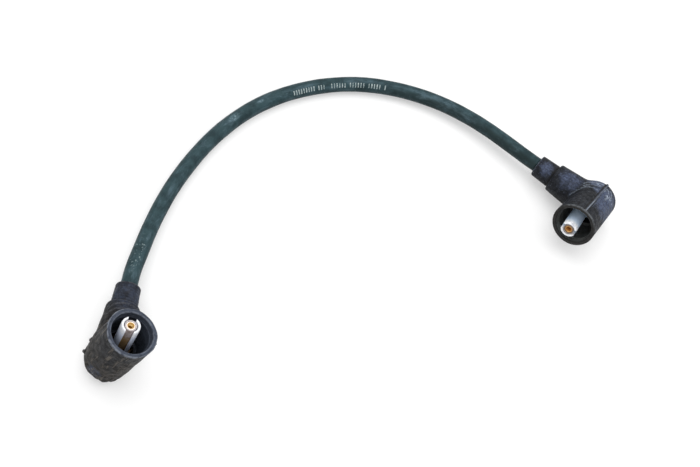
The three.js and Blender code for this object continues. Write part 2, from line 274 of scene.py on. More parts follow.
# %% Put the ticks on the jacket
def open_path(name, runs):
    """A curve with one straight-sided spline for each run of points, in millimetres."""
    curve = bpy.data.curves.new(name, "CURVE")
    curve.dimensions = "3D"
    for run in runs:
        spline = curve.splines.new("POLY")
        spline.points.add(len(run) - 1)
        spline.points.foreach_set("co", np.hstack([run * MM, np.ones((len(run), 1))]).ravel())
    return new_object(name, curve)


def evaluated_mesh(piece):
    """A plain mesh of what the object's modifiers make."""
    bpy.context.view_layer.update()
    return bpy.data.meshes.new_from_object(piece.evaluated_get(bpy.context.evaluated_depsgraph_get()))


def grown(holder, maker, name, **inputs):
    """The result of a Geometry Nodes tree on an object, as a plain mesh object."""
    modifier = holder.modifiers.new("maker", "NODES")
    modifier.node_group = maker
    for item in maker.interface.items_tree:
        key = item.name.replace(" ", "_").lower()
        if item.in_out == "INPUT" and key in inputs:
            modifier[item.identifier] = inputs[key]
    mesh = evaluated_mesh(holder)
    bpy.data.objects.remove(holder)
    return new_object(name, mesh)


ink = bpy.data.materials.new("worn_ink")
print_stretches = ((132, 148), (151, 178))  # from and to, along the cable
per_step = cable_length / (len(cable_line) - 1)
print_runs = [cable_line[round(start / per_step):round(stop / per_step)] for start, stop in print_stretches]
ticks = grown(open_path("print_path", print_runs), tick_maker(), "print_ticks",
              spacing=1.27 * MM, radius=3.425 * MM, first_angle=math.radians(112), arc=math.radians(36),
              width=0.44 * MM, thickness=0.12 * MM, share_left_out=0.08, seed=5, ink=ink)
print("ticks:", len(ticks.data.polygons), "faces")

# %% [markdown]
# ## How a boot is described
#
# A boot is one rubber moulding: a body that widens to its mouth, an arm with a stepped collar,
# and a soft fillet where they meet. Joining two lathed meshes would leave a hard crease there.
# Instead each turned part is a distance field, which tells for any point how far it is from the
# surface. Two fields can be melted into each other with a radius, as the mould maker's fillet
# does, and the skin is drawn where the distance is nought.

# %% Distance fields
def arc(centre, radius, start, stop, count=9):
    turn = np.radians(np.linspace(start, stop, count))
    return [(centre[0] + radius * math.cos(a), centre[1] + radius * math.sin(a)) for a in turn]


def turned_distance(radial, height, outline):
    """Signed distance to a turned shape, from its outline as (radius, height) corners."""
    nearest = np.full(radial.shape, np.inf)
    sign = np.ones(radial.shape)
    for (ax, ay), (bx, by) in zip(outline, outline[1:] + outline[:1]):
        ex, ey = bx - ax, by - ay
        if ex == 0 and ey == 0:
            continue
        wx, wy = radial - ax, height - ay
        t = np.clip((wx * ex + wy * ey) / (ex * ex + ey * ey), 0, 1)
        nearest = np.minimum(nearest, (wx - ex * t) ** 2 + (wy - ey * t) ** 2)
        rises, falls, on_left = height >= ay, height < by, ex * wy > ey * wx
        sign = np.where((rises & falls & on_left) | (~rises & ~falls & ~on_left), -sign, sign)
    return sign * np.sqrt(nearest)


def melted(a, b, radius):
    """Union of two distances with a fillet of about that radius."""
    h = np.clip(radius - np.abs(a - b), 0, None) / radius
    return np.minimum(a, b) - h * h * radius / 4


def ball_distance(p, middle, radius):
    return np.linalg.norm(p - middle, axis=-1) - radius


def rod_distance(p, start, stop, radius):
    start, stop = np.asarray(start, float), np.asarray(stop, float)
    way = stop - start
    t = np.clip((p - start) @ way / (way @ way), 0, 1)
    return np.linalg.norm(p - start - t[..., None] * way, axis=-1) - radius


# %% Outlines of the body, the arm, the mouth and the cable's bore
closed_end, rim_height, arm_length = -8.4, 23.05, 30.78
past_axis = -6.0  # an outline runs past the axis, so that the axis itself isn't an edge
past_rim, past_collar = 25.0, 33.0  # the hollows run out into the open air
body_outline = [
    (past_axis, closed_end), *arc((6.6, -5.8), 2.6, -90, 0), *arc((9.25, 22.2), 0.85, 0, 90),
    (past_axis, rim_height)]
arm_outline = [
    (past_axis, -2.0), (8.4, -2.0), (8.4, 3.5), (7.7, 11.0), *arc((6.2, 20.88), 0.7, 0, 90, 5),
    (5.72, 21.58), (5.5, 21.75), (5.55, 22.4), (5.25, 30.1), *arc((4.65, arm_length - 0.6), 0.6, 0, 90, 5),
    (past_axis, arm_length)]
mouth_outline = [
    (past_axis, -4.9), (6.55, -4.9), (6.55, 6.65), (7.6, 6.65), (8.2, 18.3),
    (7.88, 18.9), (7.8, 19.8), (7.88, 20.7), (8.25, 21.3),  # the sealing rib
    (8.3, 22.25), (8.62, 23.0), (8.9, past_rim), (past_axis, past_rim)]
bore_outline = [
    (past_axis, 0.0), (4.9, 0.0), (4.9, 19.2), (3.62, 19.4), (3.56, 30.2), (3.9, 30.9),
    (4.2, past_collar), (past_axis, past_collar)]
print("outline corners:", len(body_outline), len(arm_outline), len(mouth_outline), len(bore_outline))

# %% [markdown]
# ## Drawing the skin
#
# The field is sampled on a grid of cells. Every cell that the surface passes through gets one
# point, at the mean of the places where its edges are crossed, and neighbours are joined by
# quads, which is the method called surface nets. The grid needn't be even: its lines lie closer
# where the seam, the rim and the collar's step need it. Last, each point is moved along the
# field's slope until it lies on the surface exactly.

# %% Grid, slope and crossed faces
def grid_lines(stops, sizes):
    """Grid lines between the stops, each stretch with its own size of cell."""
    pieces = [np.arange(a, b - size * 0.3, size) for a, b, size in zip(stops, stops[1:], sizes)]
    return np.concatenate(pieces + [[stops[-1]]])


def slope(distance, p, reach=0.02):
    """The field's gradient at each point."""
    parts = []
    for way in np.eye(3):
        parts.append((distance(p + reach * way) - distance(p - reach * way)) / (2 * reach))
    return np.stack(parts, axis=-1)


def face_corner(field, b, c, i, j):
    """One corner of every grid face that spans axes b and c, as a view into the field."""
    cut = [slice(None)] * 3
    cut[b], cut[c] = slice(i, field.shape[b] - 1 + i), slice(j, field.shape[c] - 1 + j)
    return field[tuple(cut)]


def untangled(field, rounds=4, just_inside=-0.001):
    """Fills a corner of each face whose signs are crossed, where the skin would touch itself."""
    for _ in range(rounds):
        for b, c in ((0, 1), (1, 2), (0, 2)):
            corners = [face_corner(field, b, c, i, j) for i, j in ((0, 0), (1, 0), (0, 1), (1, 1))]
            here, beside, above, across = [corner < 0 for corner in corners]
            crossed = (here == across) & (beside == above) & (here != beside)
            for corner in corners[:2]:
                corner[crossed & (corner >= 0)] = just_inside
    return field


# %% Surface nets on an uneven grid
def crossed_edges(field, lines, a):
    """The grid edges along axis a that the surface crosses: the four cells round each, where it
    is crossed, and whether its low end is inside."""
    b, c = (a + 1) % 3, (a + 2) % 3
    cells = np.array(field.shape) - 1
    low = np.take(field, np.arange(cells[a]), axis=a)
    high = np.take(field, np.arange(1, cells[a] + 1), axis=a)
    edge = np.argwhere((low < 0) != (high < 0))
    edge = edge[(edge[:, b] > 0) & (edge[:, c] > 0) & (edge[:, b] < cells[b]) & (edge[:, c] < cells[c])]
    low, high = low[tuple(edge.T)], high[tuple(edge.T)]
    place = np.stack([lines[k][edge[:, k]] for k in range(3)], axis=1)
    place[:, a] += low / (low - high) * (lines[a][edge[:, a] + 1] - lines[a][edge[:, a]])
    around = []
    for back_b, back_c in ((1, 1), (0, 1), (0, 0), (1, 0)):
        cell = edge.copy()
        cell[:, b] -= back_b
        cell[:, c] -= back_c
        around.append(np.ravel_multi_index(tuple(cell.T), tuple(cells)))
    return np.stack(around, axis=1), place, low < 0


def skin(distance, lines, settling_rounds=3, longest_move=0.12):
    """Points and quads of the surface where the distance is nought."""
    field = untangled(distance(np.stack(np.meshgrid(*lines, indexing="ij"), axis=-1)))
    owners, crossings, quads = [], [], []
    for a in range(3):
        around, place, starts_inside = crossed_edges(field, lines, a)
        owners += list(around.T)
        crossings += [place] * 4
        quads.append(np.where(starts_inside[:, None], around, around[:, ::-1]))
    owners, crossings, quads = np.concatenate(owners), np.concatenate(crossings), np.concatenate(quads)
    used, index = np.unique(owners, return_inverse=True)
    count = np.bincount(index)
    points = np.stack([np.bincount(index, crossings[:, k]) / count for k in range(3)], axis=1)
    for _ in range(settling_rounds):
        way = slope(distance, points)
        steepness = np.maximum((way ** 2).sum(axis=1), 0.3)
        points -= np.clip(distance(points) / steepness, -longest_move, longest_move)[:, None] * way
    return points, np.searchsorted(used, quads)


# %% [markdown]
# ## The two boots
#
# Both boots come from one mould, but they have lived apart. The left one has a torn strip of
# flash that wandered off the seam, and a dented back end. The right one keeps its straight seam.
# So one function describes the moulding, and each side hands in its own seam, nubs and dents.
# Each boot has its own frame: its elbow is the origin, X runs up the arm and Z out of the mouth.

# %% Where each connector lies
def lying(elbow, heading, dip, roll):
    """A boot's frame in the lead's: its elbow, its arm's heading and dip, and its roll round the arm."""
    return (Matrix.Translation(elbow) @ Matrix.Rotation(math.radians(heading), 4, "Z")
            @ Matrix.Rotation(math.radians(dip), 4, "Y") @ Matrix.Rotation(math.radians(roll), 4, "X"))


def leaning(foot, to_arm, aside):
    """A contact's frame in its boot's: it stands at the foot and leans by two angles."""
    axis = Vector((math.tan(math.radians(to_arm)), math.tan(math.radians(aside)), 1)).normalized()
    tilt = Vector((0, 0, 1)).rotation_difference(axis).to_matrix().to_4x4()
    return Matrix.Translation((*foot, 0)) @ tilt


boot_place = {
    "left": lying((-116.59, -5.53, 9.8269), 56.9, 3.1, 14.0),
    "right": lying((115.74, -5.62, 10.7215), 117.25, 5.2, -71.6),
}
contact_place = {
    "left": boot_place["left"] @ leaning((0.1, -1.6), 4.3, 7.6),
    "right": boot_place["right"] @ leaning((2.5, 0.3), -4.6, 4.2),
}
print("left mouth looks along", [round(v, 3) for v in boot_place["left"].col[2][:3]])


# %% Seams, nubs and dents
def on_body(angle, z, proud=0.0):
    """A point on the body's tapered side, at an angle from the arm."""
    r = 9.2 + 0.9 * (z + 5.8) / 28.0 + proud
    return (r * math.cos(math.radians(angle)), r * math.sin(math.radians(angle)), z)


seam_lines = {
    "left": [[on_body(-93.5, z) for z in (-5, 4, 12, 22)],
             [on_body(*spot) for spot in ((87, 22.0, 0.1), (83, 17, 0.1), (77, 12, 0.15), (71, 8, 0.2),
                                          (66, 4, 0.35), (63, 0.5, 0.42), (62, -2.8, 0.45))]],
    "right": [[on_body(-93.4, z, 0.12) for z in (-5.6, 2, 8, 15, 22)],
              [on_body(93.5, z) for z in (-5, 4, 12, 22)]],
}
seam_radius = 0.34
# a nub or a dent is a ball: its middle and its radius
nubs = {
    "left": [(on_body(62, -3.0, 0.35), 0.72), (on_body(64, -1.4, 0.3), 0.6),
             (on_body(88, -5.6, 0.15), 0.75), (on_body(178, 20.6, 0.0), 0.45)],
    "right": [(on_body(-93.4, -5.9, 0.2), 0.7), (on_body(-93.4, -4.9, 0.25), 0.5)],
}
dents = {
    "left": [((-6.5, 6.5, -10.5), 3.2), ((-9.5, -3.5, -9.6), 3.0),
             ((-12.4, 1.5, -1.5), 3.1), ((-1.0, 11.9, -8.2), 2.6)],
    "right": [((-11.6, -6.2, -9.0), 3.4), ((-4.0, -12.2, -3.5), 3.0)],
}
# slow lumps everywhere, finer ones at the closed end, and folds across the arm, with their heights
lumps = {"left": (slow_waves(11, 4.0), 0.18), "right": (slow_waves(12, 6.5), 0.07)}
end_lumps = {"left": (slow_waves(13, 2.3), 0.17), "right": (slow_waves(14, 3.0), 0.04)}
fold_height = {"left": 0.035, "right": 0.018}
for side in ("left", "right"):
    print(side, "boot:", len(nubs[side]), "nubs,", len(dents[side]), "dents")


# %% The moulding's distance field
corner_fillet, seam_fillet, nub_fillet, dent_fillet, mouth_fillet = 2.6, 0.16, 0.5, 0.8, 0.25


def ramp(value, start, full):
    """0 up to the start, 1 from the full value on, and even between them. Full may lie below."""
    return np.clip((value - start) / (full - start), 0, 1)


def boot_distance(side):
    """The field of one boot, in its own frame."""
    wave, height = lumps[side]
    end_wave, end_height = end_lumps[side]

    def distance(p):
        x, y, z = p[..., 0], p[..., 1], p[..., 2]
        outside = melted(turned_distance(np.hypot(x, y), z, body_outline),
                         turned_distance(np.hypot(y, z), x, arm_outline), corner_fillet)
        outside = outside + (wave(p) + 0.6) * height * 0.5
        outside = outside + (end_wave(p) + 0.5) * end_height * ramp(z, 0.5, -3.0) * ramp(x, 9.0, 5.0)
        folds = np.sin(x * 5.2 + 1.3 * wave(p * 0.6)) * (wave(p * 1.4) > -0.2)
        outside = outside + ramp(x, 11.0, 14.0) * ramp(x, 30.2, 29.2) * fold_height[side] * folds
        for line in seam_lines[side]:
            for start, stop in zip(line, line[1:]):
                outside = melted(outside, rod_distance(p, start, stop, seam_radius), seam_fillet)
        for middle, radius in nubs[side]:
            outside = melted(outside, ball_distance(p, middle, radius), nub_fillet)
        for middle, radius in dents[side]:
            outside = -melted(-outside, ball_distance(p, middle, radius), dent_fillet)
        inside = np.minimum(turned_distance(np.hypot(x, y), z, mouth_outline),
                            turned_distance(np.hypot(y, z), x, bore_outline))
        return -melted(-outside, inside, mouth_fillet)

    return distance


# %% Pale lines scraped into the rubber, and painted highlight lines along the right arm's junction
pale_and_highlight_lines = {
    "left": [[(16.4, 6.8, 2.5), (18.8, 5.4, 4.5), (19.6, 2.1, 6.7), (20.0, -4.5, 5.3)],
             [(13.4, 7.3, 2.2), (16.0, 5.7, 4.8), (17.3, 2.0, 7.0), (17.8, -4.6, 5.6)],
             [on_body(*spot, 0.5) for spot in ((77, 13.0), (73, 9.5), (67, 5), (63, 0.5))]],
    # the first three right lines run along the arm's junction with the body and are painted highlights, the
    # rest are scraped
    "right": [[(9.9, -2.2, 7.6), (9.0, -3.9, 7.0), (8.2, -5.8, 5.6), (7.1, -7.2, 3.9),
               (5.6, -8.1, 2.7), (3.6, -8.9, 2.1), (1.2, -9.4, 2.2)],
              [(8.4, -7.5, 1.6), (7.0, -8.0, -0.4), (5.4, -8.5, -2.2), (3.6, -8.9, -3.8), (0.8, -9.3, -4.9)],
              [(7.6, -7.4, 3.0), (5.8, -8.3, 0.9), (3.8, -8.9, -0.6), (1.6, -9.3, -1.2)],
              [on_body(*spot) for spot in ((-99, -3.5), (-106, -3.2), (-111, -2.0))],
              [on_body(*spot) for spot in ((-114, 4.0), (-117, 1.5), (-122, -1.5))],
              [on_body(*spot) for spot in ((-113, -4.8), (-119, -4.2), (-125, -2.8))]],
}
far_from_line = 4.0


def line_distance(points, facing, start, stop):
    """How far each point lies from a line drawn on the surface, measured along the surface."""
    start, stop = np.asarray(start, float), np.asarray(stop, float)
    way = stop - start
    t = np.clip((points - start) @ way / (way @ way), 0, 1)
    away = points - start - t[:, None] * way
    deep = (away * facing).sum(axis=1)
    beside = np.linalg.norm(away - deep[:, None] * facing, axis=1)
    return np.where(np.abs(deep) < 1.1, beside, far_from_line)


# %% Skin both boots
boot_lines = [
    grid_lines([-11.2, -1.4, 0.4, 8.0, 20.2, 22.4, 29.4, 31.4], [0.40, 0.18, 0.38, 0.42, 0.22, 0.40, 0.22]),
    grid_lines([-11.4, 11.4], [0.36]),
    grid_lines([-9.4, -4.0, 8.0, 17.4, 21.8, 23.8], [0.34, 0.40, 0.42, 0.30, 0.18]),
]
bulge_reach = 0.55


def boot_marks(distance, points, lines):
    """What the finish needs to know at each point: its place, how sharply the skin bulges or is
    hollow there, and how far the nearest pale line is, scraped or painted highlight."""
    spread = sum(distance(points + bulge_reach * way) for way in np.vstack([np.eye(3), -np.eye(3)]))
    bulge = spread / bulge_reach ** 2
    facing = slope(distance, points)
    facing /= np.maximum(np.linalg.norm(facing, axis=1), 1e-6)[:, None]
    away = [line_distance(points, facing, a, b) for line in lines for a, b in zip(line, line[1:])]
    return {"place": points, "worn": ramp(bulge, 0.35, 1.85), "hollow": ramp(bulge, 0.0, -0.9),
            "from_line": np.minimum(np.min(away, axis=0), far_from_line)}


def open_edges(quads):
    """How many edges aren't shared by just two quads. A closed skin has none."""
    pairs = np.sort(np.stack([quads, np.roll(quads, -1, axis=1)], axis=-1).reshape(-1, 2), axis=1)
    return int((np.unique(pairs, axis=0, return_counts=True)[1] != 2).sum())


boots = {}
for side in ("left", "right"):
    distance = boot_distance(side)
    points, quads = skin(distance, boot_lines)
    marks = boot_marks(distance, points, pale_and_highlight_lines[side])
    boots[side] = new_mesh("boot_" + side + "_rubber", points, quads, marks, boot_place[side])
    print(side, "boot:", len(points), "points,", len(quads), "quads,", open_edges(quads), "open edges")

# %% [markdown]
# ## The contact in each mouth
#
# The spring sleeve is a plated tube split by two slots into jaws, and a socket tube with a brass
# lining and a screw stands inside it. These are turned parts, so each one is an outline spun
# round the contact's axis. The slots are cut with a boolean, as a saw cuts them, and a small
# bevel takes the razor edges off, because a machined edge that catches no light looks unreal.

# %% Turning and sawing
def turned_piece(name, outline, place, segments=96):
    """A ring or a rod from its outline, up the outside and down the bore. Radius 0 closes it."""
    points, faces, rows = [], [], []
    turn = 2 * np.pi * np.arange(segments) / segments
    for radius, height in outline:
        if radius == 0:
            rows.append([len(points)] * segments)
            points.append((0, 0, height))
        else:
            rows.append(range(len(points), len(points) + segments))
            points += list(zip(radius * np.cos(turn), radius * np.sin(turn), np.full(segments, height)))
    if outline[0][0] > 0:
        rows.append(rows[0])
    for low, high in zip(rows, rows[1:]):
        for j in range(segments):
            k = (j + 1) % segments
            faces.append(list(dict.fromkeys([low[j], low[k], high[k], high[j]])))
    return new_mesh(name, points, faces, place=place)


def box_piece(name, low, high, place):
    corners = [(x, y, z) for x in (low[0], high[0]) for y in (low[1], high[1]) for z in (low[2], high[2])]
    sides = [(0, 1, 3, 2), (4, 6, 7, 5), (0, 4, 5, 1), (2, 3, 7, 6), (0, 2, 6, 4), (1, 5, 7, 3)]
    return new_mesh(name, corners, sides, place=place)


def take_modifiers(piece):
    """The modifiers' result becomes the piece's own mesh."""
    ready = evaluated_mesh(piece)
    piece.modifiers.clear()
    piece.data = ready


def cut_away(piece, cutter):
    cut = piece.modifiers.new("saw", "BOOLEAN")
    cut.operation, cut.solver, cut.object = "DIFFERENCE", "EXACT", cutter
    take_modifiers(piece)
    bpy.data.objects.remove(cutter)


def ease_edges(piece, width, segments):
    ease = piece.modifiers.new("edges", "BEVEL")
    ease.width, ease.segments, ease.use_clamp_overlap = width * MM, segments, True
    ease.limit_method, ease.angle_limit = "ANGLE", math.radians(40)
    take_modifiers(piece)
    piece.data.shade_smooth()


def note_place(piece, place):
    """Every point notes where it lies on the contact, in millimetres."""
    back = np.array(place.inverted())
    points = np.array([v.co[:] for v in piece.data.vertices]) / MM
    layer = piece.data.attributes.new("place", "FLOAT_VECTOR", "POINT")
    layer.data.foreach_set("vector", (points @ back[:3, :3].T + back[:3, 3]).ravel())


# %% Turn the contacts
sleeve_outline = [(2.8, 7.2), (3.75, 7.2), (3.75, 24.2), (3.66, 24.7), (3.5, 24.9), (3.0, 24.9), (2.8, 24.75)]
tube_outline = [(1.25, 9.6), (2.35, 9.6), (2.35, 24.35), (2.28, 24.58), (2.16, 24.65), (1.98, 24.65),
                (1.88, 24.55), (1.85, 24.35), (1.85, 10.8), (1.25, 10.8)]
lining_outline = [(1.15, 12.9), (1.82, 12.9), (1.82, 24.2), (1.74, 24.38), (1.3, 24.38), (1.15, 24.2)]
screw_outline = [(0, 4.7), (0.95, 4.7), (0.95, 11.1), (1.5, 11.1), (1.55, 11.2), (1.55, 12.2),
                 (1.35, 12.5), (0.9, 12.62), (0, 12.66)]
jaw_slot = (-5, -1.6, 8.6), (5, 1.6, 26.0)
screw_slot = (-0.25, -3, 12.0), (0.25, 3, 13.5)

metal = {}
for side, place in contact_place.items():
    start = "contact_{}_" + side
    metal["sleeve", side] = turned_piece(start.format("sleeve") + "_spring", sleeve_outline, place)
    cut_away(metal["sleeve", side], box_piece("slot_cutter", *jaw_slot, place))
    ease_edges(metal["sleeve", side], 0.14, 3)
    metal["tube", side] = turned_piece(start.format("tube") + "_socket", tube_outline, place)
    metal["lining", side] = turned_piece(start.format("lining") + "_bush", lining_outline, place)
    metal["screw", side] = turned_piece(start.format("screw") + "_head", screw_outline, place, 48)
    cut_away(metal["screw", side], box_piece("drive_cutter", *screw_slot, place))
    ease_edges(metal["screw", side], 0.05, 2)
for (kind, side), piece in metal.items():
    piece.data.set_sharp_from_angle(angle=math.radians(50))
    note_place(piece, contact_place[side])
print({kind + " " + side: len(piece.data.polygons) for (kind, side), piece in metal.items()})

# %% [markdown]
# ## Shader steps
#
# Each finish is built from nodes in the script. One helper stands for each common step, so that
# a recipe reads from top to bottom. Most of a recipe lays one tint over another where a mask is
# 1, and a mask is often a product of several. An effect that several finishes share is a node
# group with named inputs: it is built once and placed with its own values.

# %% Numbers, vectors and noise
def maths(tree, operation, *values):
    return step(tree, "ShaderNodeMath", dict(enumerate(values)), operation=operation).outputs[0]


def times(tree, first, *others):
    """The product of the values."""
    for value in others:
        first = maths(tree, "MULTIPLY", first, value)
    return first


def unless(tree, mask):
    """1 where the mask is 0, and 0 where it is 1."""
    return maths(tree, "SUBTRACT", 1.0, mask)


def most(tree, values):
    """The largest of the values."""
    total = values[0]
    for value in values[1:]:
        total = maths(tree, "MAXIMUM", total, value)
    return total


def apart(tree, value, from_value):
    """How far a value is from a number, either way."""
    return maths(tree, "ABSOLUTE", maths(tree, "SUBTRACT", value, from_value))


def ranged(tree, value, low, high, to_low=0.0, to_high=1.0, course="SMOOTHSTEP"):
    """The value's stretch from low to high, drawn out to another. Low may be the larger one."""
    return step(tree, "ShaderNodeMapRange", {
        "Value": value, "From Min": low, "From Max": high, "To Min": to_low, "To Max": to_high},
        interpolation_type=course).outputs["Result"]


def vectors(tree, operation, *values):
    node = step(tree, "ShaderNodeVectorMath", dict(enumerate(values)), operation=operation)
    return node.outputs["Value" if operation in ("LENGTH", "DISTANCE") else "Vector"]


def cloud(tree, vector, size, detail=4.0, roughness=0.55, stretch=None, distortion=0.0):
    """Noise whose patches are about the given size in millimetres, from 0 to 1."""
    if stretch:
        vector = vectors(tree, "MULTIPLY", vector, stretch)
    scale = maths(tree, "DIVIDE", 1.0, size) if isinstance(size, bpy.types.NodeSocket) else 1.0 / size
    return step(tree, "ShaderNodeTexNoise", {"Vector": vector, "Scale": scale, "Detail": detail,
                                             "Roughness": roughness, "Distortion": distortion}).outputs["Fac"]


# %% Places, tints and surfaces
def noted(tree, name, kind="Fac"):
    """What the mesh notes under that name at each point."""
    return step(tree, "ShaderNodeAttribute", attribute_name=name).outputs[kind]


def millimetres(tree):
    """Object coordinates in millimetres, for pieces that note nothing themselves."""
    return vectors(tree, "MULTIPLY", step(tree, "ShaderNodeTexCoord").outputs["Object"], (1000, 1000, 1000))


def split(tree, vector):
    return step(tree, "ShaderNodeSeparateXYZ", {"Vector": vector}).outputs


def from_axis(tree, place):
    """The distance from the Z axis."""
    return vectors(tree, "LENGTH", vectors(tree, "MULTIPLY", place, (1, 1, 0)))


def shaded(colour, by):
    return tuple(v * by for v in colour)


def tinted(tree, colour, tint, *masks):
    """The tint laid over the colour where the product of the masks is 1."""
    mix = step(tree, "ShaderNodeMix", {0: times(tree, *masks), 6: colour, 7: tint}, data_type="RGBA")
    return mix.outputs[2]


def emptied(owner):
    """The node tree of a material or a world, with nothing in it."""
    owner.use_nodes = True
    owner.node_tree.nodes.clear()
    return owner.node_tree


def new_surface(material, base, roughness, metallic=0.0, specular=0.5):
    tree = emptied(material)
    surface = step(tree, "ShaderNodeBsdfPrincipled", {
        "Base Color": base, "Roughness": roughness, "Metallic": metallic, "Specular IOR Level": specular})
    step(tree, "ShaderNodeOutputMaterial", {"Surface": surface.outputs[0]})
    return tree, surface


def complete(tree, surface, colour, rough, height=None, depth=0.0, strength=1.0):
    """Feeds the surface its colour, its roughness and, through a Bump node, its relief."""
    tree.links.new(colour, surface.inputs["Base Color"])
    tree.links.new(rough, surface.inputs["Roughness"])
    if height is not None:
        bump = step(tree, "ShaderNodeBump", {"Height": height, "Distance": depth, "Strength": strength})
        tree.links.new(bump.outputs[0], surface.inputs["Normal"])


# %% [markdown]
# ## Effects that the finishes share
#
# Old rubber has three things in common wherever it is: a fine pebbled grain, dust that settles
# in soft patches, and pale scratches that run one way. Metal that has been handled has cloudy
# spots and fine lines from the lathe. Each is one group below.

# %% Helpers for groups
def new_group(name, inputs, outputs):
    group = bpy.data.node_groups.new(name, "ShaderNodeTree")
    add_sockets(group, "INPUT", inputs)
    add_sockets(group, "OUTPUT", outputs)
    return group, group.nodes.new("NodeGroupInput").outputs, group.nodes.new("NodeGroupOutput").inputs


def placed(tree, group, inputs):
    """A group put into a tree with its own values."""
    return step(tree, "ShaderNodeGroup", inputs, node_tree=group).outputs


# %% Grain and dust
tree, given, result = new_group("moulded rubber grain", [
    ("Vector", "Vector"), ("Grain size", "Float", 0.35), ("Lump size", "Float", 3.0)],
    [("Height", "Float"), ("Mottle", "Float")])
fine = cloud(tree, given["Vector"], given["Grain size"], 3.0, 0.6)
broad = cloud(tree, given["Vector"], given["Lump size"], 5.0, 0.6)
put(tree, result["Height"], maths(tree, "ADD", times(tree, fine, 0.35), broad))
put(tree, result["Mottle"], ranged(tree, broad, 0.35, 0.68))
rubber_grain = tree

tree, given, result = new_group("settled dust", [
    ("Vector", "Vector"), ("Color", "Color", (0.03, 0.03, 0.03, 1)),
    ("Dust color", "Color", (0.1, 0.1, 0.1, 1)), ("Amount", "Float", 0.5), ("Patch size", "Float", 3.0)],
    [("Color", "Color"), ("Mask", "Float")])
patch = cloud(tree, given["Vector"], given["Patch size"], 7.0, 0.72, distortion=0.5)
edge = maths(tree, "SUBTRACT", 0.86, times(tree, given["Amount"], 0.62))
soft = ranged(tree, maths(tree, "SUBTRACT", patch, edge), -0.20, 0.26)
specks = ranged(tree, cloud(tree, given["Vector"], 0.9, 5.0, 0.7), 0.30, 0.68, 0.35, 1.0)
mask = times(tree, soft, specks)
put(tree, result["Mask"], mask)
put(tree, result["Color"], tinted(tree, given["Color"], given["Dust color"], mask))
settled_dust = tree

# %% Scratches and handled metal
tree, given, result = new_group("pale scratches", [
    ("Vector", "Vector"), ("Stretch", "Vector", (1, 1, 0.1)), ("Size", "Float", 0.6),
    ("Amount", "Float", 0.5)], [("Mask", "Float")])
drawn = vectors(tree, "MULTIPLY", given["Vector"], given["Stretch"])
lines = cloud(tree, drawn, given["Size"], 4.0, 0.7, distortion=0.3)
limit = maths(tree, "SUBTRACT", 0.80, times(tree, given["Amount"], 0.3))
put(tree, result["Mask"], ranged(tree, maths(tree, "SUBTRACT", lines, limit), 0.0, 0.07))
pale_scratches = tree

tree, given, result = new_group("handled metal", [
    ("Vector", "Vector"), ("Color", "Color", (0.7, 0.7, 0.7, 1)),
    ("Tarnish color", "Color", (0.3, 0.25, 0.2, 1)), ("Tarnish", "Float", 0.3),
    ("Low roughness", "Float", 0.25), ("High roughness", "Float", 0.45)],
    [("Color", "Color"), ("Roughness", "Float"), ("Height", "Float")])
spots = cloud(tree, given["Vector"], 1.6, 6.0, 0.65)
stain = ranged(tree, maths(tree, "ADD", spots, times(tree, given["Tarnish"], 0.4)), 0.55, 0.85)
put(tree, result["Color"], tinted(tree, given["Color"], given["Tarnish color"], stain))
put(tree, result["Roughness"], ranged(
    tree, spots, 0.3, 0.7, given["Low roughness"], given["High roughness"], "LINEAR"))
put(tree, result["Height"], cloud(tree, given["Vector"], 1.0, 2.0, 0.5, stretch=(0.4, 0.4, 9.0)))
handled_metal = tree
shared = (rubber_grain, settled_dust, pale_scratches, handled_metal)
print("shared effects:", [group.name for group in shared])

# %% [markdown]
# ## Boot rubber
#
# The moulding is near-black rubber with a blue-grey bloom of dust, which on the right boot's
# lamp-facing flank and on the left collar is also painted sheen. Three things vary over it.
# Handled edges go paler, which needs the shape, so the mesh carries how sharply each point
# bulges, and hollows are darkened with painted shade. Dust lies in patches. The left boot is
# browner on its body, where engine dirt has worked in. Where those zones lie comes from the
# boot's own coordinates, in millimetres from its elbow. The recipe goes from the rubber outwards,
# one layer to a function: soil, dust, scratches with the right boot's painted highlight lines,
# rubbed edges with painted shade in the hollows and at the collar's foot, the seam's painted
# shadow and highlight, and last the mouth, which is cleaner than the outside and has painted
# highlights on its rib and along its rim's edges.

# %% Where a point lies on a boot
def zone(tree, place, centre, radius, soft=0.5):
    """1 inside a ball round a point of the boot, 0 outside, with a soft edge."""
    away = vectors(tree, "DISTANCE", place, centre)
    return ranged(tree, away, radius * (1 + soft), radius * (1 - soft))


def zones(tree, at, spots):
    """1 in any of the balls."""
    return most(tree, [zone(tree, at.place, *spot) for spot in spots])


def where_on_boot(tree):
    """The masks and places that several layers of the finish read."""
    place = noted(tree, "place", "Vector")
    parts = split(tree, place)
    on_arm = ranged(tree, parts["X"], 10.4, 12.6)
    return SimpleNamespace(
        place=place, x=parts["X"], y=parts["Y"], z=parts["Z"], from_axis=from_axis(tree, place),
        on_arm=on_arm, off_arm=unless(tree, on_arm),
        worn=noted(tree, "worn"), hollow=noted(tree, "hollow"), from_line=noted(tree, "from_line"),
        grain=placed(tree, rubber_grain, {"Vector": place, "Grain size": 0.5, "Lump size": 2.2}),
        broken=ranged(tree, cloud(tree, place, 1.3, 3.0), 0.32, 0.6),
        nearly_whole=ranged(tree, cloud(tree, place, 1.8, 3.0), 0.22, 0.50),
        speck=ranged(tree, cloud(tree, place, 0.55, 3.0, 0.6), 0.60, 0.70))


# %% Soil and dust
def soiled(tree, at, look):
    """The bare rubber, with earth worked into it and darker blotches."""
    worked_in = ranged(tree, cloud(tree, at.place, 4.0, 6.0, 0.65), 0.3, 0.62)
    colour = tinted(tree, look["base"], look["earth"], zones(tree, at, look["earthy"]), worked_in)
    colour = tinted(tree, colour, shaded(look["base"], 0.25), at.grain["Mottle"], 0.8)
    blotches = ranged(tree, cloud(tree, at.place, 1.7, 5.0, 0.65, stretch=(1.0, 1.0, 0.5)), 0.50, 0.66)
    return tinted(tree, colour, shaded(look["base"], 0.2), blotches, 0.75)


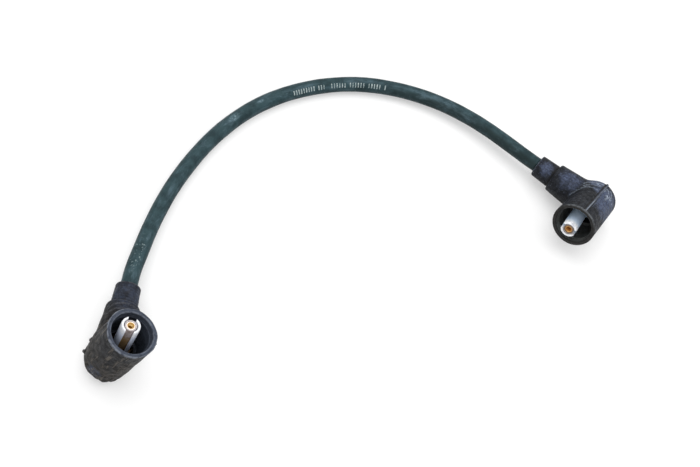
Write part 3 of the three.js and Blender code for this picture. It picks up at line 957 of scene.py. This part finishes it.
def dusted(tree, at, look, colour):
    on_this_side = ranged(tree, at.on_arm, 0.0, 1.0, 1.0, look["arm_dust"])
    amount = times(tree, zones(tree, at, look["dusty"]), look["dust_amount"], on_this_side)
    for spot in look["clean"]:
        amount = times(tree, amount, unless(tree, zone(tree, at.place, *spot)))
    return placed(tree, settled_dust, {"Vector": at.place, "Color": colour, "Dust color": (*look["bloom_and_sheen"], 1),
                                       "Amount": amount, "Patch size": 2.6})["Color"]


# %% Streaks, wrinkles and knocks
def scratched(tree, at, look, colour):
    """Streaks along the body, wrinkles across the arm, short scratches where it was knocked, the
    scraped lines and the right boot's painted highlight lines, and specks. Gives the streaks too, because
    they have relief."""
    def scratches(stretch, size, amount):
        return placed(tree, pale_scratches, {
            "Vector": at.place, "Stretch": stretch, "Size": size, "Amount": amount})["Mask"]

    streaks = scratches((1.0, 1.0, 0.12), 1.15, look["streak_amount"])
    colour = tinted(tree, colour, look["streak"], streaks, at.off_arm, 0.75)
    wrinkles = scratches((1.0, 0.22, 0.22), 0.45, 0.46)
    colour = tinted(tree, colour, shaded(look["bloom_and_sheen"], 1.1), wrinkles, at.on_arm, 0.45)
    knocks = zones(tree, at, look["knocked"])
    short = scratches((1.0, 1.0, 0.42), 1.1, 0.80)
    colour = tinted(tree, colour, shaded(look["scratch"], 1.6), short, knocks, 0.9)
    fraying = ranged(tree, cloud(tree, at.place, 0.7, 4.0, 0.7), 0.35, 0.65, -0.15, 0.35)
    # The pale lines are scraped, except the right boot's lines along the arm's junction, which are painted
    # highlights.
    drawn = ranged(tree, maths(tree, "ADD", at.from_line, fraying), 0.70, 0.14)
    strength = maths(tree, "ADD", times(tree, knocks, 0.45), look["line_amount"])
    colour = tinted(tree, colour, look["scratch"], drawn, at.nearly_whole, strength)
    return tinted(tree, colour, look["scratch"], at.speck, look["speck_amount"]), streaks


# %% Rubbed edges, painted shade in the hollows and at the collar's foot, and the seam's painted shadow and highlight
def rubbed(tree, at, look, colour):
    dark = look["step_shade"]
    # Painted shade: hollows and creases are darkened.
    colour = tinted(tree, colour, shaded(look["base"], 0.3), at.hollow, 0.8)
    # Painted shade at the collar's step: the pale rub is held back on its shoulder and its foot is darkened.
    shoulder = times(tree, ranged(tree, at.x, 19.8, 20.6), ranged(tree, at.x, 23.0, 22.2), dark)
    colour = tinted(tree, colour, look["rub"], at.worn, unless(tree, shoulder), at.broken, 0.8)
    foot = times(tree, ranged(tree, at.x, 21.2, 21.7), ranged(tree, at.x, 23.2, 22.2), dark)
    colour = tinted(tree, colour, shaded(look["base"], 0.2), foot)
    # The right seam's stripes are painted light: a painted shadow on the ridge's arm side and a painted
    # highlight on its far side.
    on_side = times(tree, ranged(tree, at.y, -6.0, -8.0), at.off_arm)
    for across, half_width, tint, at_end in look["seam_shadow_and_highlight"]:
        near = ranged(tree, apart(tree, at.x, across), half_width * 1.5, half_width * 0.6)
        patchy = ranged(tree, at.nearly_whole, 0.0, 1.0, 0.35, 0.85)
        fading = ranged(tree, at.z, 8.0, 14.0, at_end, 1.0)
        colour = tinted(tree, colour, tint, near, on_side, patchy, fading)
    return colour


# %% The mouth's wall and the rim
def mouth_and_rim(tree, at, look, colour):
    """The wall shows rings that the mould's core left, the rib's crest has a painted highlight, and the rim
    is matt, with painted highlights along its edges.
    """
    ring_place = step(tree, "ShaderNodeCombineXYZ", {"X": at.from_axis, "Y": at.z}).outputs[0]
    rings = ranged(tree, cloud(tree, ring_place, 0.55, 3.0, 0.6), 0.35, 0.65)
    wall = tinted(tree, shaded(look["wall"], 0.6), shaded(look["wall"], 1.4), rings)
    # Painted highlight: the rib's crest is paler.
    wall = tinted(tree, wall, look["rib"], ranged(tree, apart(tree, at.z, 20.0), 0.55, 0.15), 0.8)
    colour = tinted(tree, colour, wall, ranged(tree, at.from_axis, 8.9, 8.5), ranged(tree, at.z, 6.0, 6.6))
    rim = tinted(tree, shaded(look["rim"], 0.72), shaded(look["rim"], 1.25), rings)
    rim = tinted(tree, rim, shaded(look["rim"], 0.5), at.grain["Mottle"], 0.6)
    rim = tinted(tree, rim, shaded(look["rim"], 2.4), at.speck, look["rim_specks"])
    face = ranged(tree, at.z, 22.1, 22.5)
    colour = tinted(tree, colour, rim, face)
    # Painted highlights along the rim's outer and inner edges, on the right boot only on its lit side.
    outer_edge = times(tree, ranged(tree, at.from_axis, 9.5, 9.85), ranged(tree, at.z, 21.9, 22.3))
    inner_edge = times(tree, ranged(tree, at.from_axis, 8.85, 8.6), face, 0.7)
    edges = most(tree, [outer_edge, inner_edge])
    if look["lit_side"]:
        edges = times(tree, edges, ranged(tree, at.y, *look["lit_side"]))
    return tinted(tree, colour, look["rim_edge_highlight"], edges, at.broken, 0.85)


# %% Mix the boot rubber
def boot_finish(name, look):
    material = bpy.data.materials.new(name)
    tree, surface = new_surface(material, look["base"], 0.62, specular=0.16)
    at = where_on_boot(tree)
    colour = dusted(tree, at, look, soiled(tree, at, look))
    colour, streaks = scratched(tree, at, look, colour)
    colour = mouth_and_rim(tree, at, look, rubbed(tree, at, look, colour))
    rough = ranged(tree, at.grain["Mottle"], 0.0, 1.0, 0.48, 0.74, "LINEAR")
    relief = maths(tree, "ADD", at.grain["Height"], times(tree, streaks, 0.35))
    complete(tree, surface, colour, rough, relief, 0.00045, 0.9)
    return material


# a zone is its middle, its radius and, where it isn't 0.5, how soft its edge is
left_rubber = boot_finish("left_boot_rubber", {
    "base": (0.010, 0.011, 0.014), "earth": (0.034, 0.028, 0.022), "bloom_and_sheen": (0.046, 0.060, 0.098),
    "streak": (0.122, 0.108, 0.092), "scratch": (0.085, 0.085, 0.095), "rub": (0.085, 0.082, 0.085),
    "wall": (0.030, 0.036, 0.048), "rib": (0.11, 0.125, 0.16), "rim": (0.058, 0.070, 0.098),
    "rim_edge_highlight": (0.20, 0.22, 0.26),
    "earthy": [((-3, 0, -2), 13.0), ((8, 6, -1), 8.0), ((-9, -3, 10), 6.0)],
    # the dust on the left collar is also painted sheen
    "dusty": [((-9, 5, -3), 4.0), ((24, 0, 4), 8.5), ((14, -3, 5), 4.0)],
    "clean": [((0, 0, 12), 8.0, 0.15)], "knocked": [((-8, 5, -4), 3.5)],
    "dust_amount": 0.70, "arm_dust": 1.0, "streak_amount": 0.80, "speck_amount": 0.30,
    "line_amount": 0.55, "step_shade": 0.4, "rim_specks": 0.3, "seam_shadow_and_highlight": [], "lit_side": None})

# a seam's stripe is its place across the body, its half width, its tint and its strength at the closed end;
# on the right boot the dark stripe is a painted shadow on the seam ridge's arm side and the pale one a
# painted highlight on its far side
right_rubber = boot_finish("right_boot_rubber", {
    # the right bloom is dust, made paler than dust alone to paint the light on the flank that faces the side
    # lamp
    "base": (0.010, 0.012, 0.017), "earth": (0.018, 0.017, 0.016), "bloom_and_sheen": (0.082, 0.105, 0.178),
    "streak": (0.085, 0.100, 0.140), "scratch": (0.24, 0.28, 0.34), "rub": (0.075, 0.088, 0.115),
    "wall": (0.058, 0.062, 0.060), "rib": (0.140, 0.148, 0.140), "rim": (0.023, 0.0225, 0.022),
    "rim_edge_highlight": (0.11, 0.12, 0.13),
    "earthy": [((5, 8, 5), 9.0)],
    "dusty": [((-6, -8, 4), 10.5), ((14, -5, 3), 6.0, 0.7), ((26, -3, 3), 4.0, 0.7), ((4, -8, -4), 5.0)],
    "clean": [((4.5, -8, 9), 5.5, 0.3), ((0, 0, 17), 8.8, 0.1)],
    "knocked": [((-4.5, -8.2, -1.5), 3.8), ((2.0, -9.0, -4.5), 2.2)],
    "dust_amount": 0.80, "arm_dust": 0.86, "streak_amount": 0.5, "speck_amount": 0.35,
    "line_amount": 0.42, "step_shade": 0.95, "rim_specks": 0.7,
    "seam_shadow_and_highlight": [(0.0, 0.42, (0.004, 0.004, 0.005), 1.0), (-0.95, 0.22, (0.24, 0.27, 0.32), 0.35)],
    "lit_side": (-4.0, -8.0)})
for material in (left_rubber, right_rubber):
    print(material.name, "has", len(material.node_tree.nodes), "nodes")

# %% [markdown]
# ## Cable jacket
#
# The jacket is the same kind of rubber in a dark blue-green, polished by handling, with pale
# rubs. It is described in the cable's straightened coordinates, so the rubs are long along the
# cable and short round it. The short stretches inside the boots have no rubs of their own. Before
# the right collar the jacket's inner side is darkened with painted shade. The ticks have a thin
# worn ink, with the jacket's green showing through.

# %% Shade and rubs on the free cable
def on_top(tree, run, along, half_length, across, half_width):
    """1 in an oval on the jacket's upper side, at that length along it and that far across it."""
    away = vectors(tree, "DISTANCE", vectors(tree, "MULTIPLY", run, (1 / half_width, 0.0, 1 / half_length)),
                   (across / half_width, 0.0, along / half_length))
    return times(tree, ranged(tree, away, 1.4, 0.4), ranged(tree, split(tree, run)["Y"], -0.5, 0.8))


jacket_base, jacket_deep, jacket_rub = (0.022, 0.051, 0.059), (0.010, 0.024, 0.028), (0.092, 0.150, 0.182)
# each rub: its place along the cable, half its length, its place across the top, half its width
jacket_rubs = [(99, 4.5, 0.2, 1.5), (114.5, 2.5, 0.0, 0.8), (50, 4, 0.4, 0.9), (24, 3, 1.0, 0.8),
               (3, 2.5, 0.6, 0.6), (201, 16, 0.6, 1.2), (165, 8, 0.2, 1.2), (138, 5, 0.2, 0.9)]
jacket_scrapes = [(98.5, 3.0, 0.0, 1.3), (114.5, 1.6, 0.0, 0.6)]
jacket_nicks = (15, 9, -0.6, 2.4)


def shaded_and_rubbed(tree, run, long_way, colour):
    """Painted shade on the inner side of the stretch before the right collar, and the pale rubs, which lie
    under the dust.
    """
    parts = split(tree, run)
    # Painted shade on the stretch's inner side.
    shaded_side = times(tree, ranged(tree, parts["Z"], 150.0, 205.0), ranged(tree, parts["X"], 0.8, 2.6))
    colour = tinted(tree, colour, (0.008, 0.017, 0.017), shaded_side, 0.75)
    rubs = most(tree, [on_top(tree, run, *spot) for spot in jacket_rubs])
    uneven = ranged(tree, cloud(tree, long_way, 1.8, 6.0, 0.7), 0.32, 0.66)
    return tinted(tree, colour, jacket_rub, rubs, uneven, 0.48)


def nicked(tree, run, colour):
    """Bright nicks near the left collar and scraped flecks at the bend, on top of the dust."""
    nicks = ranged(tree, cloud(tree, run, 1.0, 4.0, 0.7), 0.57, 0.66)
    colour = tinted(tree, colour, (0.25, 0.32, 0.33), nicks, on_top(tree, run, *jacket_nicks), 0.85)
    flecks = ranged(tree, cloud(tree, run, 0.9, 4.0, 0.7), 0.44, 0.60)
    scraped = most(tree, [on_top(tree, run, *spot) for spot in jacket_scrapes])
    return tinted(tree, colour, (0.20, 0.29, 0.33), flecks, scraped, 0.55)


# %% Mix the jacket rubber
def jacket_finish(name, free_cable):
    material = bpy.data.materials.new(name)
    tree, surface = new_surface(material, jacket_base, 0.5, specular=0.16)
    run = noted(tree, "straight", "Vector") if free_cable else millimetres(tree)
    long_way = vectors(tree, "MULTIPLY", run, (1.0, 1.0, 0.35))
    grain = placed(tree, rubber_grain, {"Vector": run, "Grain size": 0.5, "Lump size": 5.0})
    colour = tinted(tree, jacket_base, jacket_deep, grain["Mottle"], 0.85)
    if free_cable:
        colour = shaded_and_rubbed(tree, run, long_way, colour)
    colour = placed(tree, settled_dust, {"Vector": long_way, "Color": colour, "Dust color": (*jacket_rub, 1),
                                         "Amount": 0.36, "Patch size": 3.6})["Color"]
    scratch = placed(tree, pale_scratches, {
        "Vector": run, "Stretch": (1.0, 1.0, 0.10), "Size": 0.7, "Amount": 0.42})
    colour = tinted(tree, colour, shaded(jacket_rub, 1.3), scratch["Mask"], 0.5)
    if free_cable:
        colour = nicked(tree, run, colour)
    rough = ranged(tree, grain["Mottle"], 0.0, 1.0, 0.44, 0.62, "LINEAR")
    complete(tree, surface, colour, rough, grain["Height"], 0.00025, 0.7)
    return material


jacket_rubber = jacket_finish("jacket_rubber", True)
inner_jacket = jacket_finish("inner_jacket_rubber", False)
print(jacket_rubber.name, "has", len(jacket_rubber.node_tree.nodes), "nodes")

# %% Mix the ink
ink_colour, ink_rubbed_off = (0.46, 0.52, 0.52), (0.12, 0.18, 0.19)
tree, surface = new_surface(ink, ink_colour, 0.6)
rubbed_off = ranged(tree, cloud(tree, millimetres(tree), 0.8, 5.0, 0.7), 0.36, 0.62)
complete(tree, surface, tinted(tree, ink_colour, ink_rubbed_off, rubbed_off),
         ranged(tree, rubbed_off, 0.0, 1.0, 0.5, 0.7, "LINEAR"))
print(ink.name, "has", len(tree.nodes), "nodes")

# %% [markdown]
# ## Metals
#
# The sleeve and the tube are nickel or tin plated, so they are bright with a satin, slightly
# cloudy surface. The bush and the screw are brass, and the conductor is copper. All of them use
# the same group, each with its own colour, tarnish and roughness. Deep in a mouth little light
# arrives, so a finish may have layers by height or by radius: the sleeves grow darker and bluer
# towards the bottom, which is painted shade, the left bush has a painted glint just under its
# lip and turns dark brown below it, and the tubes turn brown with stain.

# %% A recipe for every metal
def metal_finish(name, colour, tarnish_colour, tarnish, low, high, metallic=1.0, layers=(), notes_place=True):
    """Low and high are the roughness. A layer is (tint, axis, where it starts, where it is full),
    with axis Z for the height and R for the radius."""
    material = bpy.data.materials.new(name)
    tree, surface = new_surface(material, colour, low, metallic)
    run = noted(tree, "place", "Vector") if notes_place else millimetres(tree)
    look = placed(tree, handled_metal, {
        "Vector": run, "Color": (*colour, 1), "Tarnish color": (*tarnish_colour, 1), "Tarnish": tarnish,
        "Low roughness": low, "High roughness": high})
    shade, measures = look["Color"], {"Z": split(tree, run)["Z"], "R": from_axis(tree, run)}
    for tint, axis, start, full in layers:
        shade = tinted(tree, shade, tint, ranged(tree, measures[axis], start, full))
    complete(tree, surface, shade, look["Roughness"], look["Height"], 0.00003, 0.5)
    return material


# %% Mix the metals that are seen
# The sleeves' layers by height are painted shade: darker and bluer towards the bottom of the mouth, and on
# the left sleeve darker still near its foot.
plated = metal_finish(
    "satin_plating", (0.92, 0.94, 1.0), (0.62, 0.62, 0.68), 0.02, 0.34, 0.46, 0.08,
    [((0.76, 0.83, 1.0), "Z", 23.4, 20.0), ((0.40, 0.42, 0.48), "Z", 12.0, 8.5),
     ((0.78, 0.80, 0.84), "Z", 24.3, 24.7)])
bluish_plating = metal_finish(
    "bluish_plating", (0.92, 0.94, 0.97), (0.54, 0.56, 0.62), 0.22, 0.34, 0.46, 0.06,
    [((0.64, 0.80, 1.0), "Z", 24.0, 20.5)])
stained_plating = metal_finish(
    "stained_tube_plating", (0.50, 0.43, 0.42), (0.24, 0.17, 0.13), 0.3, 0.26, 0.4, 0.4,
    [((0.40, 0.25, 0.11), "Z", 20.5, 16.5), ((0.46, 0.42, 0.42), "Z", 24.2, 24.4)])
browned_plating = metal_finish(
    "browned_tube_plating", (0.42, 0.32, 0.26), (0.20, 0.11, 0.06), 0.4, 0.3, 0.45, 0.5,
    [((0.22, 0.17, 0.14), "Z", 24.2, 24.4)])
# The bush's bore has a painted glint: a bright gold band just under the lip, and dark brown below it.
pale_brass = metal_finish(
    "pale_brass", (0.62, 0.40, 0.14), (0.40, 0.22, 0.08), 0.15, 0.22, 0.36, 0.3,
    [((1.0, 0.86, 0.50), "Z", 23.6, 23.2), ((0.40, 0.22, 0.06), "Z", 22.6, 22.0),
     ((0.90, 0.80, 0.76), "R", 1.42, 1.52)])
turned_brass = metal_finish(
    "turned_brass", (0.60, 0.33, 0.10), (0.34, 0.16, 0.05), 0.3, 0.24, 0.4, 0.6,
    [((0.20, 0.10, 0.04), "R", 1.50, 1.62)])

# %% Mix the metals inside the boots
ferrule_plating = metal_finish(
    "ferrule_plating", (0.74, 0.78, 0.86), (0.42, 0.38, 0.36), 0.12, 0.34, 0.5, 0.3, notes_place=False)
# the terminal body's brass is darkened nearly to black, so each well's bottom shows dark
dull_brass = metal_finish(
    "dull_brass", (0.16, 0.10, 0.05), (0.07, 0.045, 0.03), 0.3, 0.4, 0.6, 0.6, notes_place=False)
bare_copper = metal_finish(
    "bare_copper", (0.72, 0.38, 0.24), (0.30, 0.16, 0.10), 0.35, 0.35, 0.55, notes_place=False)
print("finishes:", len(bpy.data.materials))

# %% [markdown]
# ## Handing the pieces over
#
# Every new piece rides on the lead's one body and stands for a imported node, which is hidden;
# its record's material slot is listed beside it but not used. The imported nodes that are kept,
# deep inside the boots, only take a finish in their own slots.

# %% Dress every piece
record_slot = {"sleeve": "plated_metal", "tube": "plated_metal", "lining": "brass", "screw": "brass"}
metal_look = {
    "left": {"sleeve": plated, "tube": stained_plating, "lining": pale_brass, "screw": pale_brass},
    "right": {"sleeve": bluish_plating, "tube": browned_plating, "lining": turned_brass,
              "screw": turned_brass},
}
dressed = [(boots["left"], left_rubber, "boot_left", "boot_rubber"),
           (boots["right"], right_rubber, "boot_right", "boot_rubber"),
           (cable, jacket_rubber, "cable", "jacket_rubber")]
dressed += [(piece, metal_look[side][kind], "contact_" + kind + "_" + side, record_slot[kind])
            for (kind, side), piece in metal.items()]
for piece, material, node, slot in dressed:
    piece.data.materials.clear()
    piece.data.materials.append(material)
    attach(piece, "root")
    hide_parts(node)
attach(ticks, "root")

kept = {"cable_end": inner_jacket, "conductor": bare_copper, "crimp_ferrule": ferrule_plating,
        "terminal_body": dull_brass}
for name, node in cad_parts.items():
    for start, material in kept.items():
        if name.startswith(start):
            for material_slot in node.material_slots:
                material_slot.material = material
print("dressed:", len(dressed), "new pieces")

# %% [markdown]
# ## Studio
#
# The photograph is a product shot on white: soft light from above, hardly any shadow. A white
# world gives the even light, a large lamp overhead keeps the shadows short, one at the right
# brightens what faces it, and a weak one at the left fills in. To the camera, and in the metal's
# gloss, floor and sky show as white. The floor still takes the shadow, because only part of its
# brightness is its own. Far off, where the lamps hardly reach, that part grows, so that the
# floor stays white up to its edge.

# %% Floor and world
def seen_directly(tree):
    """1 for what the camera sees, also in a gloss or through glass, and 0 for what only lights."""
    ray = step(tree, "ShaderNodeLightPath").outputs
    return most(tree, [ray["Is Camera Ray"], ray["Is Glossy Ray"], ray["Is Transmission Ray"]])


floor_half = 3.0
floor_mesh = bpy.data.meshes.new("studio_floor")
floor_mesh.from_pydata([(x * floor_half, y * floor_half, 0) for x, y in ((-1, -1), (1, -1), (1, 1), (-1, 1))],
                       [], [(0, 1, 2, 3)])
floor = new_object("studio_floor", floor_mesh)
floor_finish = bpy.data.materials.new("white_table")
tree = emptied(floor_finish)
from_middle = vectors(tree, "LENGTH", step(tree, "ShaderNodeTexCoord").outputs["Object"])
own_light = times(tree, seen_directly(tree), ranged(tree, from_middle, 0.5, 2.0, 0.36, 0.64))
matt = step(tree, "ShaderNodeBsdfDiffuse", {"Color": (0.62, 0.62, 0.62)})
glow = step(tree, "ShaderNodeEmission", {"Color": (1, 1, 1), "Strength": own_light})
both = step(tree, "ShaderNodeAddShader", {0: matt.outputs[0], 1: glow.outputs[0]})
step(tree, "ShaderNodeOutputMaterial", {"Surface": both.outputs[0]})
floor_mesh.materials.append(floor_finish)

world = bpy.data.worlds.new("studio_world")
bpy.context.scene.world = world
tree = emptied(world)
strength = ranged(tree, seen_directly(tree), 0.0, 1.0, 0.55, 1.0, "LINEAR")
sky = step(tree, "ShaderNodeBackground", {"Color": (1, 1, 1), "Strength": strength})
step(tree, "ShaderNodeOutputWorld", {"Surface": sky.outputs[0]})


# %% Lamps
def soft_lamp(name, place, aim, size, power):
    """A round lamp of that size and power, in metres and watts, that faces the aim."""
    lamp = bpy.data.lights.new(name, "AREA")
    lamp.shape, lamp.size, lamp.energy = "DISK", size, power
    holder = new_object(name, lamp)
    holder.location = place
    holder.rotation_mode = "QUATERNION"
    holder.rotation_quaternion = (Vector(aim) - Vector(place)).to_track_quat("-Z", "Y")


soft_lamp("overhead_lamp", (0.0, 0.50, 1.30), (0, 0.03, 0), 1.6, 12.0)
soft_lamp("side_lamp", (1.05, -0.20, 1.00), (0, 0.02, 0), 1.1, 4.6)
soft_lamp("fill_lamp", (-0.60, -0.60, 0.90), (0, 0.0, 0), 0.8, 4.0)
bpy.context.scene.view_settings.view_transform = "Standard"
print("lamps:", {lamp.name: round(lamp.energy, 1) for lamp in bpy.data.lights})
